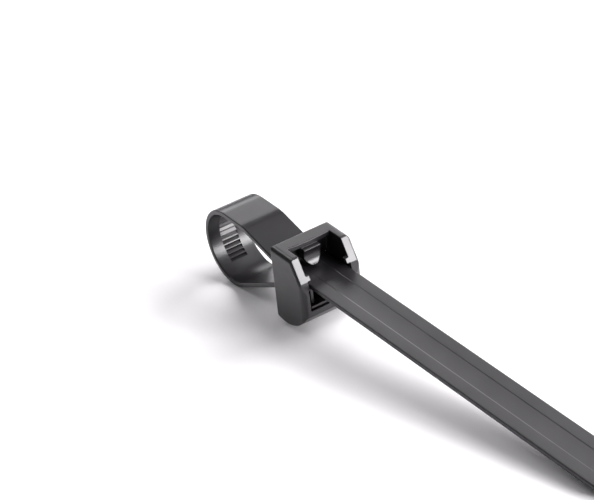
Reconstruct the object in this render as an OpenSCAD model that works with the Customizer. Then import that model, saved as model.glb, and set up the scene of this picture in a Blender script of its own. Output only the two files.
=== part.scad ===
// Closed one-piece cable tie, moulded in nylon, pulled shut into a small loop.
// The frame has its origin in the middle of the loop. +X runs the way the tail
// points, +Y across the strap, +Z up. The tie stands on the loop and the tail tip.

/* [Strap] */
// width of the strap
strap_w = 12.7; // [11:0.1:14]
// thickness of the strap over its two side rails
strap_t = 1.4; // [1.3:0.05:1.8]
// how far the tail runs out past the front of the head
tail_out = 125; // [60:1:200]
// width of the middle zone between the side rails
zone_w = 5.2; // [4.6:0.1:6]
// depth of the shallow groove down the outer face
groove_d = 0.08; // [0.05:0.01:0.25]
// distance from one tooth to the next
tooth_pitch = 1.5; // [1.2:0.05:2]
// depth of the teeth in the inner face
tooth_d = 0.55; // [0.4:0.05:0.6]

/* [Loop] */
// outer radius of the loop
loop_r = 11.3; // [10:0.1:20]
// slope of the strap where it comes down to the head
down_deg = 14; // [10:1:18]
// slope of the strap where it leaves the head
root_deg = 26; // [22:1:30]
// radius of the two soft bends before the head
bend_r = 12; // [8:1:14]

/* [Head] */
// outer width of the head
head_w = 19; // [18.6:0.1:22]
// depth of the head from the strap entry to the exit face
head_l = 13.7; // [13:0.1:16]
// height of the head above the strap
head_up = 7.1; // [6.8:0.1:9]
// radius of the rounded underside of the head
belly_r = 11.6; // [11.2:0.1:12]
// rounding of the outer corners of the head
corner_r = 1.5; // [1:0.1:2]
// gap between the strap and the side walls
side_gap = 0.35; // [0.3:0.05:0.6]
// gap over and under the strap
face_gap = 0.3; // [0.2:0.05:0.35]
// lean of the cut-away front edges
lean_deg = 30.5; // [25:0.5:34]

/* [Hidden] */
$fn = 96;
eps = 0.02;
// Rounding circles are this much larger, so that they cross the flats cleanly.
skim = 0.004;
tie_color = [0.1, 0.1, 0.11];

// The head frame has x = 0 and z = 0 on the outer face of the strap, just before
// the head. In that frame the loop centre sits behind and below the head.
head_back = 4.6;
head_front = head_back + head_l;

// The strap lies level over the loop, comes down a slope and is level again from
// flat_end on. bend_drop is the height lost in the two bends.
flat_end = head_back - 2.6;
top_rise = 3.5;
bend_drop = 2 * bend_r * (1 - cos(down_deg));
run_down = (top_rise - bend_drop) / sin(down_deg);
flat_start = flat_end - 2 * bend_r * sin(down_deg) - run_down * cos(down_deg);
bend_cuts = 5;
// The root of the strap leaves the head at this height, on its outer face, and
// the loop centre lies one loop radius over the line of the root.
root_z = -7.1;
loop_z = loop_r - top_rise;
loop_x = (loop_r + (root_z + loop_z) * cos(root_deg)) / sin(root_deg) - head_back;

// Round-ended taper of the tail tip, and the stretch before it without teeth.
tip_x = head_front + tail_out;
tip_taper = 12;
tip_r = 3;
plain_end = 24;

// The rest angle brings the tail tip down to the level of the loop's underside.
tip_along = tip_x + loop_x;
tip_high = loop_z - strap_t;
rest_deg = asin(loop_r / norm([tip_along, tip_high])) + atan(tip_high / tip_along);

// Teeth: they start this far round the loop, each with a flat land at its edge.
tooth_start_deg = 150;
tooth_land = 0.3;
tooth_root = 0.15;
tooth_lip = 0.05;

// Passage for the strap and shell of the head.
pass_half = strap_w / 2 + side_gap;
back_wall = 2.4;
roof_t = 1.4;
back_r = 0.6;
roof_r = 0.5;
bevel = 0.5;
// Roof edge at the mouth, and the radius of its bow.
roof_edge = head_back + 4.6;
bow_r = 60;
// Centre of the round underside, and the roundings at its heel and at the roof.
belly_x = head_back + 3.9;
belly_z = -3;
heel_r = 1.4;
top_r = 0.8;
// The leaning front ends at lean_z and rounds off into the upright exit face.
lean_z = 1;
nose_in = 0.9;
nose_r = nose_in / (1 - cos(lean_deg));
nose_x = head_front - nose_r;
nose_z = lean_z - nose_r * sin(lean_deg);

// Hanging tongue: a ledge in front of the roof, a scooped face and a round toe.
tongue_w = zone_w + 0.1;
tongue_gap = face_gap + 0.3;
tongue_deep = 2.8;
tongue_x = roof_edge + 1.25;
tongue_toe = 0.8;
ledge_drop = 0.25;
ledge_in = 0.3;
scoop_r = 3.6;
scoop_x = tongue_x + 3.15;
scoop_z = 3.3;

// Lugs at the foot of the leaning edges.
lug_in = 1;
lug_low = 1;
lug_high = 2.3;
lug_deep = 1.3;

// Lower chamber and the pawl in it.
cave_half = pass_half + 0.5;
cave_floor = -7.6;
sole_top = -6.3;
sole_t = 0.75;
sole_side = 0.35;
sole_end = head_front - 0.3;
pawl_start = head_back + 5;
pawl_end = head_front - 1.8;
pawl_w = zone_w - 0.8;
rib_t = 0.9;
rib_y = 5.4;
rib_gap = 0.35;
// The pawl's teeth lie in the strap's, with this play.
play_x = 0.15;
play_z = 0.22;
pawl_teeth = 4;

// Point on the outer face and its slope, by the length u along the strap.
// u = 0 lies where the last bend ends, and u grows towards the tail.
len_b = bend_r * down_deg * PI / 180;
u1 = -len_b;
u2 = u1 - run_down;
u3 = u2 - len_b;
u4 = u3 - (loop_x + flat_start);
function on_arc(cx, cz, r, a) = [cx - r * sin(a), cz + r * cos(a), a];
function deg(len, r) = len / r * 180 / PI;
function at_level(u) = [flat_end + u, 0, 0];
function at_up(u) = on_arc(flat_end, bend_r, -bend_r, deg(u, bend_r));
function at_down(u) = [
    at_up(u1)[0] + (u - u1) * cos(down_deg),
    at_up(u1)[1] - (u - u1) * sin(down_deg),
    -down_deg];
function at_over(u) = on_arc(flat_start, top_rise - bend_r, bend_r, -deg(u - u3, bend_r));
function at_top(u) = [flat_start + (u - u3), top_rise, 0];
function at_loop(u) = on_arc(-loop_x, -loop_z, loop_r, deg(u4 - u, loop_r));
function at(u) =
    u >= 0 ? at_level(u) :
    u >= u1 ? at_up(u) :
    u >= u2 ? at_down(u) :
    u >= u3 ? at_over(u) :
    u >= u4 ? at_top(u) : at_loop(u);
tooth_first = -ceil((-u4 + loop_r * tooth_start_deg * PI / 180) / tooth_pitch);
tooth_last = floor((tip_x - plain_end - head_back) / tooth_pitch);

// Places a child on the strap: x along it, z = 0 on the outer face.
module place(u) {
    p = at(u);
    translate([p[0], 0, p[1]]) rotate([0, -p[2], 0]) children();
}

// Stands a side outline drawn in x and z up, and gives it a width along y.
module slab(w) {
    rotate([90, 0, 0]) linear_extrude(height = w, center = true) children();
}

// Closed outline of the loop, drawn d inside the strap's outer face. The long
// end reaches to x = x_end, in the back wall of the head.
function in_by(p, d) = [p[0] + d * sin(p[2]), p[1] - d * cos(p[2])];
function bend_steps(from, to) = [for (i = [0:bend_cuts]) from + (to - from) * i / bend_cuts];
function root_at(x, d) = root_z + (x - head_back) * tan(root_deg) + d / cos(root_deg);
module loop_outline(d, x_end) {
    over = [for (u = bend_steps(u3, u2)) in_by(at(u), d)];
    under = [for (u = bend_steps(u1, 0)) in_by(at(u), d)];
    leave = in_by(at(u4 - loop_r * (180 + root_deg) * PI / 180), d);
    union() {
        translate([-loop_x, -loop_z]) circle(r = loop_r - d);
        polygon(concat(
            [[-loop_x, -loop_z], [-loop_x, top_rise - d]], over, under,
            [[x_end, -d], [x_end, root_at(x_end, d)], leave]));
    }
}

// Side outline of one tooth space over a base line, its steep side to the tail.
module tooth_outline(base) {
    polygon([[0, base], [tooth_pitch - tooth_land, base],
        [tooth_pitch - tooth_land, tooth_d], [tooth_root, tooth_lip]]);
}

// Outline of the tail with its tip, as the piece that is kept.
module tip_shape() {
    back = tip_x + loop_x;
    translate([tip_x - tip_taper, 0, -strap_t - 1])
        linear_extrude(height = strap_t + 2)
            union() {
                polygon([[-back, -strap_w], [0, -strap_w], [0, -strap_w / 2],
                    [tip_taper - tip_r, -tip_r], [tip_taper - tip_r, tip_r],
                    [0, strap_w / 2], [0, strap_w], [-back, strap_w]]);
                translate([tip_taper - tip_r, 0]) circle(r = tip_r);
            }
}

module strap() {
    root_in = head_back + 1;
    difference() {
        union() {
            // Loop, with both ends running to the head.
            slab(strap_w)
                difference() {
                    loop_outline(0, root_in);
                    loop_outline(strap_t, root_in + 1);
                }
            // Level run through the head and out as the tail.
            intersection() {
                translate([flat_end + 1, -strap_w / 2, -strap_t])
                    cube([tip_x - flat_end, strap_w, strap_t]);
                tip_shape();
            }
        }
        // Shallow groove down the middle of the outer face.
        slab(zone_w)
            difference() {
                loop_outline(-1, root_in);
                loop_outline(groove_d, root_in);
            }
        translate([flat_end + 1, -zone_w / 2, -groove_d])
            cube([tip_x - flat_end, zone_w, 1]);
        // Teeth from the far side of the loop to short of the tip.
        for (i = [tooth_first:tooth_last])
            place(i * tooth_pitch)
                translate([0, 0, -strap_t]) slab(zone_w) tooth_outline(-0.1);
    }
}

// Front end of the head's leaning face at height z.
function lean_at(z) = head_front - nose_in - (z - lean_z) * tan(lean_deg);

// Side outline of the head, in the head frame.
module head_side() {
    lean_x = lean_at(head_up);
    top_x = lean_x - top_r * tan((90 - lean_deg) / 2);
    top_z = head_up - top_r;
    heel_x = head_back + heel_r;
    heel_z = belly_z - sqrt(pow(belly_r - heel_r, 2) - pow(belly_x - heel_x, 2));
    // Point where the heel's rounding runs into the round underside.
    grow = belly_r / (belly_r - heel_r);
    meet_x = belly_x + (heel_x - belly_x) * grow;
    meet_z = belly_z + (heel_z - belly_z) * grow;
    difference() {
        union() {
            polygon([[head_back, belly_z], [head_back, head_up], [lean_x, head_up],
                [lean_at(lean_z), lean_z], [head_front, nose_z], [head_front, belly_z - 1]]);
            translate([nose_x - skim, nose_z]) circle(r = nose_r);
            intersection() {
                translate([belly_x, belly_z]) circle(r = belly_r);
                translate([head_back, belly_z - 20]) square([head_l, 20 + eps]);
            }
        }
        // Rounds the corner between the top and the leaning front.
        difference() {
            polygon([[top_x, head_up + 1], [top_x, top_z],
                [top_x + top_r * cos(lean_deg), top_z + top_r * sin(lean_deg)],
                [lean_x + 3, head_up - 2], [lean_x + 3, head_up + 1]]);
            translate([top_x, top_z]) circle(r = top_r + skim);
        }
        // Rounds the corner between the back and the underside.
        difference() {
            polygon([[head_back - 1, heel_z], [heel_x, heel_z], [meet_x, meet_z],
                [meet_x, meet_z - 3], [head_back - 1, meet_z - 3]]);
            translate([heel_x, heel_z]) circle(r = heel_r + skim);
        }
    }
}

// Piece to cut away so that a square corner at the origin gets the radius r.
module corner_piece(r) {
    difference() {
        translate([-r, -r]) square([r + 1, r + 1]);
        translate([-r, -r]) circle(r = r + skim);
    }
}

module head_block() {
    half = head_w / 2;
    difference() {
        difference() {
            slab(head_w) head_side();
            // Upright corners at the exit face.
            for (s = [0, 1]) mirror([0, s, 0])
                translate([head_front, half, -20])
                    linear_extrude(height = 40) corner_piece(corner_r);
        }
        for (s = [0, 1]) mirror([0, s, 0]) {
            // Upright corners at the back.
            translate([head_back, half, -20])
                linear_extrude(height = 40) mirror([1, 0]) corner_piece(back_r);
            // Top edges along the sides.
            translate([-5, half, head_up])
                rotate([90, 0, 90]) linear_extrude(height = 40) corner_piece(corner_r);
        }
        // Top edge at the back.
        translate([head_back, 0, head_up]) slab(head_w + 2) mirror([1, 0]) corner_piece(roof_r);
    }
}

// Prisms that bevel the outer edges of the leaning front.
module lean_bevels() {
    side = bevel * sqrt(2);
    for (s = [-1, 1])
        translate([lean_at(lean_z), s * head_w / 2, lean_z])
            rotate([0, -lean_deg, 0]) rotate([0, 0, 45])
                translate([-side / 2, -side / 2, -1]) cube([side, side, 12]);
}

// Hanging tongue over the strap's outer face.
module tongue() {
    r = tongue_w / 2;
    back = tongue_x - tongue_deep;
    high = head_up - roof_t;
    difference() {
        intersection() {
            translate([back, -r, tongue_gap])
                cube([tongue_deep + tongue_toe, tongue_w, high - tongue_gap + eps]);
            translate([back - 1, 0, 0])
                rotate([90, 0, 90]) linear_extrude(height = 8)
                    union() {
                        translate([0, tongue_gap + r]) circle(r = r);
                        translate([-r, tongue_gap + r]) square([tongue_w, 10]);
                    }
        }
        translate([scoop_x, 0, scoop_z])
            rotate([90, 0, 0]) cylinder(r = scoop_r, h = tongue_w + 2, center = true);
        // The ledge lies a little under the roof and stands a little behind the toe.
        translate([roof_edge - ledge_in, -r - 1, high - ledge_drop]) cube([5, tongue_w + 2, 1]);
        translate([tongue_x, -r - 1, scoop_z]) cube([5, tongue_w + 2, 5]);
    }
}

// Locking pawl: a springy sole hinged on the back wall, two side ribs and the
// toothed block in the middle.
module pawl() {
    hinge = head_back + back_wall - eps;
    half = cave_half - sole_side;
    length = pawl_end - pawl_start;
    block_top = -strap_t - play_z;
    translate([hinge, -half, sole_top - sole_t])
        cube([sole_end - hinge, 2 * half, sole_t]);
    for (s = [-1, 1])
        translate([pawl_start, s * rib_y - rib_t / 2, sole_top - eps])
            cube([length, rib_t, -strap_t - rib_gap - sole_top + eps]);
    translate([pawl_start, -pawl_w / 2, sole_top - eps])
        cube([length, pawl_w, block_top - sole_top + eps]);
    last = floor((pawl_end - flat_end) / tooth_pitch) - 1;
    for (i = [last - pawl_teeth + 1:last])
        translate([flat_end + i * tooth_pitch - play_x, 0, block_top])
            slab(pawl_w) tooth_outline(-0.3);
}

// Lugs that keep the strap down.
module lugs() {
    x_low = lean_at(lug_low);
    x_high = lean_at(lug_high);
    for (s = [-1, 1])
        translate([0, s * (pass_half - lug_in / 2 + eps), 0])
            slab(lug_in + 2 * eps)
                polygon([[x_low, lug_low], [x_high, lug_high],
                    [x_high - lug_deep, lug_high], [x_low - lug_deep, lug_low]]);
}

module head() {
    inside = head_back + back_wall;
    difference() {
        head_block();
        lean_bevels();
        // Passage for the strap, right through.
        translate([head_back - 1, -pass_half, -strap_t - face_gap])
            cube([head_l + 2, 2 * pass_half, strap_t + 2 * face_gap]);
        // Chamber over the strap, under the roof.
        translate([inside, -pass_half, -eps])
            cube([head_l, 2 * pass_half, head_up - roof_t + eps]);
        // Mouth cut up through the top, with a bowed roof edge.
        difference() {
            translate([inside, -pass_half, 1]) cube([head_l, 2 * pass_half, head_up]);
            translate([roof_edge - bow_r, 0, 0]) cylinder(r = bow_r, h = 20, $fn = 180);
        }
        // Lower chamber with the spring gap of the pawl.
        translate([inside, -cave_half, cave_floor])
            cube([head_l, 2 * cave_half, -strap_t - cave_floor]);
    }
    tongue();
    pawl();
    lugs();
}

module cable_tie() {
    color(tie_color)
        rotate([0, rest_deg, 0])
            translate([loop_x, 0, loop_z])
                union() {
                    strap();
                    head();
                }
}

cable_tie();
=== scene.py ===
from math import asin, atan2, ceil, cos, floor, hypot, pi, radians, sin, sqrt

import bmesh
import bpy
from mathutils import Matrix, Vector


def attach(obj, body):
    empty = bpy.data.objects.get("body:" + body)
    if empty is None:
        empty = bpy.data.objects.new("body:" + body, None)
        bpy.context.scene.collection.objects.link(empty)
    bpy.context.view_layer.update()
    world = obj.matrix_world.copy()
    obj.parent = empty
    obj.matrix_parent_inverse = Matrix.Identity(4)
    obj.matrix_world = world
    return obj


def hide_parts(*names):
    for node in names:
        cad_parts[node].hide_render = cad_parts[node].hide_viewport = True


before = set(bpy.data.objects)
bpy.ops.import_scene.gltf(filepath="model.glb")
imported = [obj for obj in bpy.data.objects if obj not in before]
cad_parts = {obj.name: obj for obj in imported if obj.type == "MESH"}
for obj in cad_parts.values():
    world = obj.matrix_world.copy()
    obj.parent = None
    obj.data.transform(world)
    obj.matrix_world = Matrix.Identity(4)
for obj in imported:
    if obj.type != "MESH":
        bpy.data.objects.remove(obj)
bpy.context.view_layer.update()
NODE = "cable_tie"
BODY = "root"
MM = 0.001
WELD = 0.001

# Strap, in millimetres, as it is moulded. The zone is the groove's width on the
# outer face and the teeth's width on the inner one.
STRAP_W = 12.7
STRAP_T = 1.4
ZONE_W = 5.2
GROOVE_D = 0.08
EDGE_R = 0.32
TOOTH_PITCH = 1.5
TOOTH_D = 0.55
TOOTH_LAND = 0.3
TOOTH_START = radians(150)
TAIL_OUT = 125
TIP_TAPER = 12
TIP_R = 3
PLAIN_END = 24
GROOVE_FADE = 8
PLAIN_STEP = 0.6

# Path of the strap: round the loop, level, down a slope, level through the head.
LOOP_R = 11.3
DOWN = radians(14)
ROOT = radians(26)
BEND_R = 12
TOP_RISE = 3.5
ROOT_Z = -7.1
HEAD_BACK = 4.6
HEAD_FRONT = 18.3
LEAN_FOOT = (17.4, 1)
NOSE_FOOT = (18.3, -2.3)
FLAT_END = HEAD_BACK - 2.6
RUN_DOWN = (TOP_RISE - 2 * BEND_R * (1 - cos(DOWN))) / sin(DOWN)
FLAT_START = FLAT_END - 2 * BEND_R * sin(DOWN) - RUN_DOWN * cos(DOWN)
LOOP_Z = LOOP_R - TOP_RISE
LOOP_X = (LOOP_R + (ROOT_Z + LOOP_Z) * cos(ROOT)) / sin(ROOT) - HEAD_BACK
TIP_X = HEAD_FRONT + TAIL_OUT

# The head's frame has its origin on the strap, just before the head, and is
# level with the tail. PLACE brings it to rest on the floor, in metres.
TIP_HIGH = LOOP_Z - STRAP_T
REST = asin(LOOP_R / hypot(TIP_X + LOOP_X, TIP_HIGH)) + atan2(TIP_HIGH, TIP_X + LOOP_X)
TURN = Matrix.Rotation(REST, 4, "Y")
PLACE = Matrix.Scale(MM, 4) @ TURN @ Matrix.Translation((LOOP_X, 0, LOOP_Z))
FLOOR_Z = -LOOP_R * MM

# Lengths along the strap where its path changes; 0 is where the last bend ends.
BEND_LEN = BEND_R * DOWN
UP_START = -BEND_LEN
DOWN_START = UP_START - RUN_DOWN
OVER_START = DOWN_START - BEND_LEN
LOOP_END = OVER_START - (LOOP_X + FLAT_START)
LOOP_START = LOOP_END - LOOP_R * (pi + ROOT)
ROOT_START = LOOP_START - (HEAD_BACK + 1 + LOOP_X - LOOP_R * sin(ROOT)) / cos(ROOT)
TAIL_END = TIP_X - FLAT_END


def strap_point(u):
    """Point on the strap's outer face and the slope there, u along the strap."""
    if u >= 0:
        return FLAT_END + u, 0, 0
    if u >= UP_START:
        turn = -u / BEND_R
        return FLAT_END - BEND_R * sin(turn), BEND_R * (1 - cos(turn)), -turn
    if u >= DOWN_START:
        x, z, slope = strap_point(UP_START)
        back = UP_START - u
        return x - back * cos(DOWN), z + back * sin(DOWN), slope
    if u >= OVER_START:
        turn = (u - OVER_START) / BEND_R
        return FLAT_START + BEND_R * sin(turn), TOP_RISE - BEND_R * (1 - cos(turn)), -turn
    if u >= LOOP_END:
        return FLAT_START - (OVER_START - u), TOP_RISE, 0
    turn = (LOOP_END - max(u, LOOP_START)) / LOOP_R
    back = LOOP_START - min(u, LOOP_START)
    return (-LOOP_X - LOOP_R * sin(turn) - back * cos(turn),
            -LOOP_Z + LOOP_R * cos(turn) - back * sin(turn), turn)


def narrowing(u):
    """Share of the strap's width that is left at u, with the tip's taper and round end."""
    left = TAIL_END - u
    half = STRAP_W / 2
    if left >= TIP_TAPER:
        return 1
    if left >= TIP_R:
        return (TIP_R + (half - TIP_R) * (left - TIP_R) / (TIP_TAPER - TIP_R)) / half
    return sqrt(TIP_R ** 2 - (TIP_R - left) ** 2) / half


def grooved(u):
    """Share of the groove's depth at u: it is worn flat where the strap is bent."""
    return min(max(0.5 + u / GROOVE_FADE, 0), 1)


def plain_stations(start, end, count):
    """Evenly spaced places without teeth, from start up to the last one before end."""
    step = (end - start) / count
    return [(start + i * step, 0) for i in range(count)]


def strap_stations():
    """Places along the strap, each with the share of the tooth depth cut there."""
    first = ceil((LOOP_END - LOOP_R * TOOTH_START) / TOOTH_PITCH)
    last = floor((TAIL_END - PLAIN_END) / TOOTH_PITCH)
    long = TOOTH_PITCH - TOOTH_LAND
    # One tooth space: a long slope that starts softly, and an upright face.
    space = ((0, 0), (0.15, 0.09), (long / 2, 0.52), (long - 0.02, 1), (long + 0.02, 0))
    teeth_start, teeth_end = first * TOOTH_PITCH, (last + 1) * TOOTH_PITCH
    stations = plain_stations(ROOT_START, teeth_start,
                              round((teeth_start - ROOT_START) / PLAIN_STEP))
    for i in range(first, last + 1):
        stations += [(i * TOOTH_PITCH + along, cut) for along, cut in space]
    stations += plain_stations(teeth_end, TAIL_END - TIP_R, 16)
    # Round tip, ending just short of the point where its two sides would meet.
    count = 12
    stations += [(TAIL_END - TIP_R * (1 - sin(pi / 2 * i / count)) - 0.01, 0)
                 for i in range(count + 1)]
    return stations


def strap_section():
    """Points round the strap's section: across, height, 1 in the toothed zone and
    the share of the groove's depth."""
    half = STRAP_W / 2
    zone = ZONE_W / 2
    arc = [(EDGE_R * (1 - cos(pi / 2 * i / 4)), EDGE_R * (1 - sin(pi / 2 * i / 4)))
           for i in range(5)]
    # Extra points close to each rounding keep the shading of the flats level.
    near = 0.05
    # Soft edge of the groove: distance outside the zone's edge and share of the depth.
    ramp = ((0.25, 0), (0.2, 0.03), (0.1, 0.3), (0, 0.7), (-0.1, 0.97), (-0.15, 1))
    side = [(half, -EDGE_R - near, 0, 0)] + [(half - a, -b, 0, 0) for a, b in arc]
    side += [(half - EDGE_R - near, 0, 0, 0)] + [(zone + out, 0, 0, deep) for out, deep in ramp]
    outer = side + [(-point[0],) + point[1:] for point in reversed(side)]
    low = [(-half, -STRAP_T + EDGE_R + near, 0, 0)]
    low += [(-half + a, -STRAP_T + b, 0, 0) for a, b in arc]
    # The teeth's ends stand upright between two points that are close together.
    low += [(-half + EDGE_R + near, -STRAP_T, 0, 0), (-zone - 0.02, -STRAP_T, 0, 0),
            (-zone + 0.02, -STRAP_T, 1, 0), (-zone / 2, -STRAP_T, 1, 0)]
    inner = low + [(-point[0],) + point[1:] for point in reversed(low)]
    return outer + inner


def add(tree, kind, inputs=(), **settings):
    """Adds one node with its settings, its inputs given as values or as sockets."""
    node = tree.nodes.new(kind)
    for name, value in settings.items():
        setattr(node, name, value)
    for name, value in dict(inputs).items():
        if isinstance(value, bpy.types.NodeSocket):
            tree.links.new(value, node.inputs[name])
        else:
            node.inputs[name].default_value = value
    return node


def linear(hex_colour):
    """sRGB hex value as a linear RGBA colour."""
    parts = [int(hex_colour[i:i + 2], 16) / 255 for i in (1, 3, 5)]
    return [c / 12.92 if c <= 0.04045 else ((c + 0.055) / 1.055) ** 2.4 for c in parts] + [1]


def new_object(name, mesh):
    """Object with this mesh, linked into the scene."""
    item = bpy.data.objects.new(name, mesh)
    bpy.context.scene.collection.objects.link(item)
    return item


def line_mesh(name, points, closed, **attributes):
    """Mesh of a row of points joined by edges, with a list of values for each attribute."""
    edges = [(i, i + 1) for i in range(len(points) - 1)]
    if closed:
        edges.append((len(points) - 1, 0))
    mesh = bpy.data.meshes.new(name)
    mesh.from_pydata(points, edges, [])
    for key, values in attributes.items():
        vector = isinstance(values[0], tuple)
        store = mesh.attributes.new(key, "FLOAT_VECTOR" if vector else "FLOAT", "POINT")
        for item, value in zip(store.data, values):
            if vector:
                item.vector = value
            else:
                item.value = value
    return mesh


def sweep_tree():
    """Geometry nodes that sweep the strap's section along its path and cut the teeth."""
    tree = bpy.data.node_groups.new("Strap swept along its path", "GeometryNodeTree")
    sockets = [("Path", "Geometry"), ("Section", "Object"), ("Tooth Depth", "Float"),
               ("Groove Depth", "Float"), ("Finish", "Material")]
    for name, kind in sockets:
        tree.interface.new_socket(name, in_out="INPUT", socket_type="NodeSocket" + kind)
    tree.interface.new_socket("Strap", in_out="OUTPUT", socket_type="NodeSocketGeometry")

    def stored(name, kind="FLOAT"):
        node = add(tree, "GeometryNodeInputNamedAttribute", {"Name": name}, data_type=kind)
        return node.outputs["Attribute"]

    def maths(operation, a, b):
        return add(tree, "ShaderNodeMath", {0: a, 1: b}, operation=operation).outputs[0]

    entry = add(tree, "NodeGroupInput").outputs
    path = add(tree, "GeometryNodeMeshToCurve", {"Mesh": entry["Path"]})
    shape = add(tree, "GeometryNodeObjectInfo", {"Object": entry["Section"]})
    ring = add(tree, "GeometryNodeMeshToCurve", {"Mesh": shape.outputs["Geometry"]})
    swept = add(tree, "GeometryNodeCurveToMesh", {
        "Curve": path.outputs["Curve"], "Profile Curve": ring.outputs["Curve"], "Fill Caps": True})
    teeth = maths("MULTIPLY", maths("MULTIPLY", stored("cut"), stored("in_zone")),
                  entry["Tooth Depth"])
    groove = maths("MULTIPLY", maths("MULTIPLY", stored("grooved"), stored("in_groove")),
                   entry["Groove Depth"])
    height = maths("SUBTRACT", maths("ADD", stored("height"), teeth), groove)
    across = maths("MULTIPLY", stored("across"), stored("narrow"))
    raised = add(tree, "ShaderNodeVectorMath", {0: stored("up", "FLOAT_VECTOR"), "Scale": height},
                 operation="SCALE")
    sideways = add(tree, "ShaderNodeCombineXYZ", {"Y": across})
    offset = add(tree, "ShaderNodeVectorMath", {0: raised.outputs[0], 1: sideways.outputs[0]},
                 operation="ADD")
    placed = add(tree, "GeometryNodeSetPosition", {
        "Geometry": swept.outputs["Mesh"], "Position": stored("centre", "FLOAT_VECTOR"),
        "Offset": offset.outputs[0]})
    real = add(tree, "GeometryNodeRealizeInstances", {"Geometry": placed.outputs["Geometry"]})
    done = add(tree, "GeometryNodeSetMaterial", {
        "Geometry": real.outputs["Geometry"], "Material": entry["Finish"]})
    add(tree, "NodeGroupOutput", {"Strap": done.outputs["Geometry"]})
    return tree


def set_inputs(modifier, **values):
    """Sets a geometry-nodes modifier's inputs by their sockets' identifiers."""
    for item in modifier.node_group.interface.items_tree:
        key = item.name.replace(" ", "_").lower()
        if item.item_type == "SOCKET" and item.in_out == "INPUT" and key in values:
            modifier[item.identifier] = values[key]


def settled(item):
    """Gives an object its evaluated mesh and takes its modifiers off."""
    bpy.context.view_layer.update()
    graph = bpy.context.evaluated_depsgraph_get()
    mesh = bpy.data.meshes.new_from_object(item.evaluated_get(graph))
    item.modifiers.clear()
    item.data = mesh
    return item


def finish_mesh(item, crease):
    """Places a mesh drawn in the head's frame, closes it and shades it smooth by angle."""
    mesh = item.data
    shape = bmesh.new()
    shape.from_mesh(mesh)
    bmesh.ops.remove_doubles(shape, verts=shape.verts, dist=WELD)
    bmesh.ops.recalc_face_normals(shape, faces=shape.faces)
    shape.transform(PLACE)
    shape.to_mesh(mesh)
    shape.free()
    for name in [a.name for a in mesh.attributes if not (a.is_internal or a.is_required)]:
        if name not in ("material_index", "sharp_edge", "sharp_face"):
            mesh.attributes.remove(mesh.attributes[name])
    mesh.shade_smooth()
    mesh.set_sharp_from_angle(angle=crease)


def make_strap(finish):
    """The strap, from its root in the head's back, round the loop and out as the tail."""
    stations = strap_stations()
    places = [strap_point(u) for u, cut in stations]
    centres = [(x, 0, z) for x, z, slope in places]
    path = line_mesh("strap_path", centres, False, centre=centres,
                     up=[(-sin(slope), 0, cos(slope)) for x, z, slope in places],
                     cut=[cut for u, cut in stations],
                     narrow=[narrowing(u) for u, cut in stations],
                     grooved=[grooved(u) for u, cut in stations])
    section = strap_section()
    across, height, in_zone, in_groove = zip(*section)
    ring = line_mesh("strap_section", [(a, b, 0) for a, b in zip(across, height)], True,
                     across=across, height=height, in_zone=in_zone, in_groove=in_groove)
    pattern = new_object("strap_section", ring)
    strap = new_object("strap", path)
    sweep = strap.modifiers.new("Sweep", "NODES")
    sweep.node_group = sweep_tree()
    set_inputs(sweep, section=pattern, tooth_depth=TOOTH_D, groove_depth=GROOVE_D, finish=finish)
    settled(strap)
    bpy.data.objects.remove(pattern)
    finish_mesh(strap, radians(32))
    return strap


def make_head(finish):
    """The head, from a copy of the tie's solid, with its moulded edges softened."""
    shape = bmesh.new()
    shape.from_mesh(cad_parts[NODE].data)
    bmesh.ops.remove_doubles(shape, verts=shape.verts, dist=2 * WELD * MM)
    shape.transform(PLACE.inverted())
    # The strap runs free through the head, so it comes off as a part of its own.
    everything = shape.verts[:] + shape.edges[:] + shape.faces[:]
    bmesh.ops.bisect_plane(shape, geom=everything, plane_co=(HEAD_BACK - 0.01, 0, 0),
                           plane_no=(1, 0, 0), clear_inner=True)
    keep = set()
    front = [min(shape.verts, key=lambda v: v.co.z)]
    while front:
        vert = front.pop()
        if vert not in keep:
            keep.add(vert)
            front += [edge.other_vert(vert) for edge in vert.link_edges]
    bmesh.ops.delete(shape, geom=[v for v in shape.verts if v not in keep], context="VERTS")
    bmesh.ops.holes_fill(shape, edges=[e for e in shape.edges if e.is_boundary])
    # Flat facet below the leaning faces, so that they end in a crisp edge.
    facet = (NOSE_FOOT[0] - LEAN_FOOT[0]) / (LEAN_FOOT[1] - NOSE_FOOT[1])
    for vert in shape.verts:
        vert.co.x = min(vert.co.x, LEAN_FOOT[0] + facet * (LEAN_FOOT[1] - vert.co.z))
    mesh = bpy.data.meshes.new("head")
    shape.to_mesh(mesh)
    shape.free()
    head = new_object("head", mesh)
    grid = head.modifiers.new("Even mesh", "REMESH")
    grid.mode = "VOXEL"
    grid.voxel_size = 0.1
    soft = head.modifiers.new("Soft edges", "SMOOTH")
    soft.factor = 0.5
    soft.iterations = 7
    thin = head.modifiers.new("Fewer faces on the flats", "DECIMATE")
    thin.ratio = 0.22
    settled(head)
    head.data.materials.clear()
    head.data.materials.append(finish)
    finish_mesh(head, radians(60))
    return head


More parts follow.
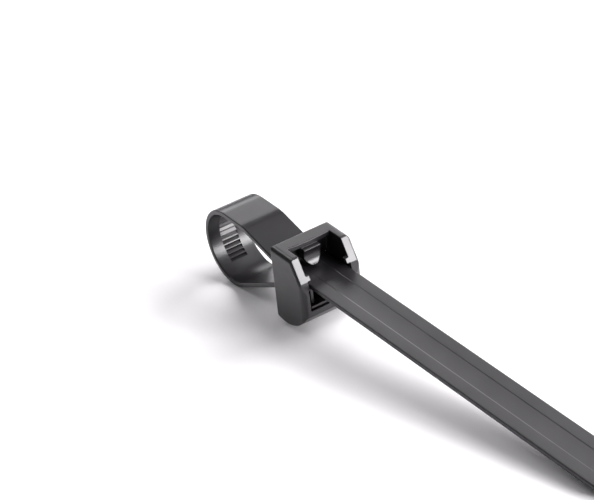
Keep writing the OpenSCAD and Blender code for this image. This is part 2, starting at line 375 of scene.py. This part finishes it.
def moulded_nylon():
    """Nylon 6/6 moulded in an eroded steel mould: deep warm black under a satin skin,
    with a fine even grain that breaks the highlights up."""
    material = bpy.data.materials.new("Nylon 6/6, moulded with an eroded grain")
    material.use_nodes = True
    tree = material.node_tree
    tree.nodes.clear()
    place = add(tree, "ShaderNodeTexCoord").outputs["Object"]
    # Grain of the mould, about 0.3 mm: coarser than the real 0.05 mm, so that it shows.
    grain = add(tree, "ShaderNodeTexNoise", {
        "Vector": place, "Scale": 1 / (0.3 * MM), "Detail": 4, "Roughness": 0.6})
    # Slow drift of gloss where the melt filled the mould, over about 9 mm.
    drift = add(tree, "ShaderNodeTexNoise", {
        "Vector": place, "Scale": 1 / (9 * MM), "Detail": 2, "Roughness": 0.5})
    colour = add(tree, "ShaderNodeMix", {
        "Factor": drift.outputs["Fac"], "A": linear("#161417"), "B": linear("#1b191c")},
        data_type="RGBA")
    gloss = add(tree, "ShaderNodeMapRange", {
        "Value": drift.outputs["Fac"], "From Min": 0.3, "From Max": 0.7,
        "To Min": 0.28, "To Max": 0.34})
    bump = add(tree, "ShaderNodeBump", {
        "Height": grain.outputs["Fac"], "Strength": 0.12, "Distance": 0.05 * MM})
    shader = add(tree, "ShaderNodeBsdfPrincipled", {
        "Roughness": gloss.outputs["Result"], "Normal": bump.outputs["Normal"], "IOR": 1.53})
    tree.links.new(colour.outputs[2], shader.inputs["Base Color"])
    add(tree, "ShaderNodeOutputMaterial", {"Surface": shader.outputs["BSDF"]})
    return material


def pale_paint():
    """Matt white studio board under the tie."""
    material = bpy.data.materials.new("Studio board, matt white")
    material.use_nodes = True
    shader = material.node_tree.nodes["Principled BSDF"]
    shader.inputs["Base Color"].default_value = linear("#fbfafb")
    shader.inputs["Roughness"].default_value = 0.8
    return material


def make_floor():
    """Board under the tie, 6 m square, that isn't part of it."""
    half = 3
    mesh = bpy.data.meshes.new("floor")
    corners = [(-half, -half), (half, -half), (half, half), (-half, half)]
    mesh.from_pydata([(x, y, FLOOR_Z) for x, y in corners], [], [(0, 1, 2, 3)])
    floor_board = new_object("floor", mesh)
    mesh.materials.append(pale_paint())


def softbox(name, direction, distance, width, height, power):
    """Area light that shines at the head from a direction in the head's frame, with
    its lengths in metres and its power in watts."""
    lamp = bpy.data.lights.new(name, "AREA")
    lamp.shape = "RECTANGLE"
    lamp.size, lamp.size_y = width, height
    lamp.energy = power
    lamp.color = linear("#fefcfe")[:3]
    item = bpy.data.objects.new(name, lamp)
    bpy.context.scene.collection.objects.link(item)
    aim = PLACE @ Vector((HEAD_FRONT / 2, 0, 0))
    way = (TURN.to_3x3() @ Vector(direction)).normalized()
    item.location = aim + way * distance
    item.rotation_euler = way.to_track_quat("Z", "Y").to_euler()


def light_studio():
    """Softboxes round the tie, in the places that the photograph's reflections show."""
    # Bright leaning faces and tongue, and shadows to the left.
    softbox("key_softbox", (0.79, 0.44, 0.43), 1.2, 0.55, 0.55, 21)
    # Lightens those shadows, and leaves the head's near side dark.
    softbox("right_softbox", (0.05, 0.9, 0.43), 1.2, 0.9, 0.9, 21)
    # Low and wide behind the head: an even sheen on the tail, and a dark mouth.
    softbox("back_panel", (-0.865, 0.315, 0.38), 1.3, 1.4, 0.4, 6.6)
    softbox("tail_panel", (-0.02, 0.63, 0.77), 0.25, 0.24, 0.24, 0.2)
    # Thin light lines on the groove's edges and on the upper rims.
    softbox("top_softbox", (-0.72, -0.07, 0.69), 0.9, 0.4, 0.12, 0.9)
    world = bpy.data.worlds.new("Studio")
    world.use_nodes = True
    back = world.node_tree.nodes["Background"]
    back.inputs["Color"].default_value = linear("#f7f6fa")
    back.inputs["Strength"].default_value = 0.18
    bpy.context.scene.world = world
    bpy.context.scene.view_settings.view_transform = "Standard"


def make_camera():
    """Camera at the photograph's angle, given in the head's frame, in millimetres."""
    azimuth, elevation, roll = radians(58.828), radians(32.233), radians(-6.505)
    distance = 705.188
    aim_right, aim_up = 1.39, -0.219
    right = Vector((cos(azimuth), sin(azimuth), 0))
    back = Vector((sin(azimuth) * cos(elevation), -cos(azimuth) * cos(elevation), sin(elevation)))
    up = back.cross(right)
    rolled_right = right * cos(roll) + up * sin(roll)
    rolled_up = up * cos(roll) - right * sin(roll)
    place = rolled_right * aim_right + rolled_up * aim_up + back * distance
    turn = Matrix((rolled_right, rolled_up, back)).transposed()
    lens = bpy.data.cameras.new("camera")
    lens.sensor_width = 36
    lens.lens = 161.68
    camera = bpy.data.objects.new("camera", lens)
    bpy.context.scene.collection.objects.link(camera)
    camera.matrix_world = Matrix.Translation(PLACE @ place) @ TURN @ turn.to_4x4()
    bpy.context.scene.camera = camera


nylon = moulded_nylon()
make_floor()
make_camera()
light_studio()
for piece in (make_strap(nylon), make_head(nylon)):
    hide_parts(NODE)
    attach(piece, BODY)
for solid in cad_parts.values():
    solid.data.materials.clear()
    solid.data.materials.append(nylon)
